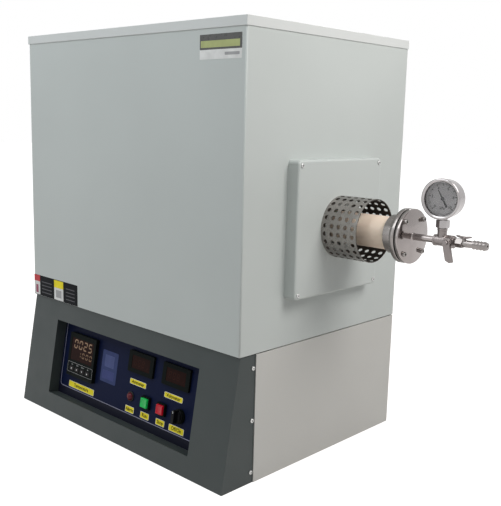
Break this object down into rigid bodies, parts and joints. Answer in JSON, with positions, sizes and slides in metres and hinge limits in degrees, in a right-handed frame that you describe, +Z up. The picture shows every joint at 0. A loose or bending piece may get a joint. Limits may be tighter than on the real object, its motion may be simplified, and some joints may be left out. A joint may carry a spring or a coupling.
{
  "type": "tube furnace",
  "caption": "Laboratory tube furnace: box cabinet on a sloping console, horizontal ceramic work tube with vacuum flanges, perforated guards, pressure gauge and gas valves.",
  "frame": {"origin": "on the floor, at the centre of the cabinet's footprint", "axes": "+X along the work tube towards the gauge end, -Y towards the operator, +Z up"},
  "size_m": [1.2856, 0.5384, 0.828],
  "materials": {
    "cabinet_paint": "light grey-green powder coat, fine texture",
    "lower_paint": "warm light grey powder coat",
    "console_paint": "dark grey powder coat, satin",
    "panel_film": "navy blue printed film",
    "frame_paint": "grey primer",
    "stainless": "brushed stainless steel",
    "polished_steel": "polished stainless steel",
    "alumina": "fired alumina, ivory",
    "fibre_block": "vacuum-formed ceramic fibre, white",
    "element_carbide": "dark grey silicon carbide",
    "probe_sheath": "ceramic sheath and head",
    "seal_rubber": "black silicone rubber",
    "clear_glass": "clear flat glass",
    "dial_white": "white dial, matt",
    "needle_black": "black, matt",
    "instrument_black": "black moulded plastic",
    "filter_red": "dark red filter window",
    "key_grey": "grey key rubber",
    "lamp_red": "dark red lens",
    "run_green": "green lit cap",
    "stop_red": "red lit cap",
    "fan_black": "black glass-filled plastic",
    "grille_steel": "zinc-plated steel",
    "core_varnish": "varnished laminations and winding",
    "heatsink_aluminium": "extruded aluminium",
    "stud_brass": "brass"
  },
  "bodies": {
    "cabinet": {"alarm_lamp": "lamp_red", "ball_valve_body": "stainless", "base_frame": "frame_paint", "console_housing": "console_paint", "contactor": "fan_black", "control_panel": "panel_film", "cooling_fan_frame": "fan_black", "deck_plate": "frame_paint", "display_windows": "filter_red", "earth_stud": "stud_brass", "element_holders": "alumina", "fan_grille": "grille_steel", "flange_bolts": "polished_steel", "flange_cap_left": "polished_steel", "flange_cap_right": "polished_steel", "flange_ring_left": "stainless", "flange_ring_right": "stainless", "flange_seals": "seal_rubber", "gauge_bezel": "polished_steel", "gauge_case": "polished_steel", "gauge_dial": "dial_white", "gauge_glass": "clear_glass", "gauge_tee": "stainless", "heating_elements": "element_carbide", "inlet_valve_body": "stainless", "inner_casing": "frame_paint", "insulation_lower": "fibre_block", "insulation_upper": "fibre_block", "lower_rear_panel": "lower_paint", "lower_side_panels": "lower_paint", "outlet_valve_body": "stainless", "panel_meters": "instrument_black", "power_regulator": "heatsink_aluminium", "sheet_screws": "polished_steel", "side_cover_left": "cabinet_paint", "side_cover_right": "cabinet_paint", "supply_gland": "fan_black", "switch_housings": "instrument_black", "temperature_controller": "instrument_black", "terminal_block": "fan_black", "thermocouple": "probe_sheath", "top_cover": "cabinet_paint", "transformer": "core_varnish", "tube_guard_left": "stainless", "tube_guard_right": "stainless", "upper_rear_panel": "cabinet_paint", "upper_shell": "cabinet_paint", "work_tube": "alumina"},
    "run_button": {"run_button": "run_green"},
    "stop_button": {"stop_button": "stop_red"},
    "selector": {"selector_knob": "instrument_black"},
    "set_key": {"set_key": "key_grey"},
    "shift_key": {"shift_key": "key_grey"},
    "down_key": {"down_key": "key_grey"},
    "up_key": {"up_key": "key_grey"},
    "needle": {"gauge_needle": "needle_black"},
    "valve_lever": {"ball_valve_lever": "stainless"},
    "outlet_handle": {"outlet_valve_handle": "stainless"},
    "inlet_handle": {"inlet_valve_handle": "stainless"},
    "fan_rotor": {"cooling_fan_rotor": "fan_black"}
  },
  "joints": [
    {"name": "run_press", "type": "slide", "parent": "cabinet", "child": "run_button", "axis": [0, 0.9864, -0.1647], "range_m": [0, 0.003], "stiffness_N_per_m": 400},
    {"name": "stop_press", "type": "slide", "parent": "cabinet", "child": "stop_button", "axis": [0, 0.9864, -0.1647], "range_m": [0, 0.003], "stiffness_N_per_m": 400},
    {"name": "selector_turn", "type": "hinge", "parent": "cabinet", "child": "selector", "pos_m": [0.175, -0.2357, 0.09194], "axis": [0, 0.9864, -0.1647], "range_deg": [0, 90]},
    {"name": "set_press", "type": "slide", "parent": "cabinet", "child": "set_key", "axis": [0, 0.9864, -0.1647], "range_m": [0, 0.0008], "stiffness_N_per_m": 300},
    {"name": "shift_press", "type": "slide", "parent": "cabinet", "child": "shift_key", "axis": [0, 0.9864, -0.1647], "range_m": [0, 0.0008], "stiffness_N_per_m": 300},
    {"name": "down_press", "type": "slide", "parent": "cabinet", "child": "down_key", "axis": [0, 0.9864, -0.1647], "range_m": [0, 0.0008], "stiffness_N_per_m": 300},
    {"name": "up_press", "type": "slide", "parent": "cabinet", "child": "up_key", "axis": [0, 0.9864, -0.1647], "range_m": [0, 0.0008], "stiffness_N_per_m": 300},
    {"name": "needle_turn", "type": "hinge", "parent": "cabinet", "child": "needle", "pos_m": [0.578, 0, 0.5355], "axis": [-0.0872, 0.9962, 0], "range_deg": [-104, 166], "stiffness_Nm_per_rad": 0.002},
    {"name": "lever_turn", "type": "hinge", "parent": "cabinet", "child": "valve_lever", "pos_m": [0.595, 0, 0.4635], "axis": [0, -1, 0], "range_deg": [-14, 76]},
    {"name": "outlet_handle_turn", "type": "hinge", "parent": "cabinet", "child": "outlet_handle", "pos_m": [0.619, 0, 0.4635], "axis": [0, 0, 1], "range_deg": [0, 90]},
    {"name": "inlet_handle_turn", "type": "hinge", "parent": "cabinet", "child": "inlet_handle", "pos_m": [-0.58, 0, 0.4635], "axis": [0, 0, 1], "range_deg": [0, 90]},
    {"name": "fan_spin", "type": "hinge", "parent": "cabinet", "child": "fan_rotor", "pos_m": [-0.2, 0.24, 0.12], "axis": [0, 1, 0], "continuous": true}
  ]
}
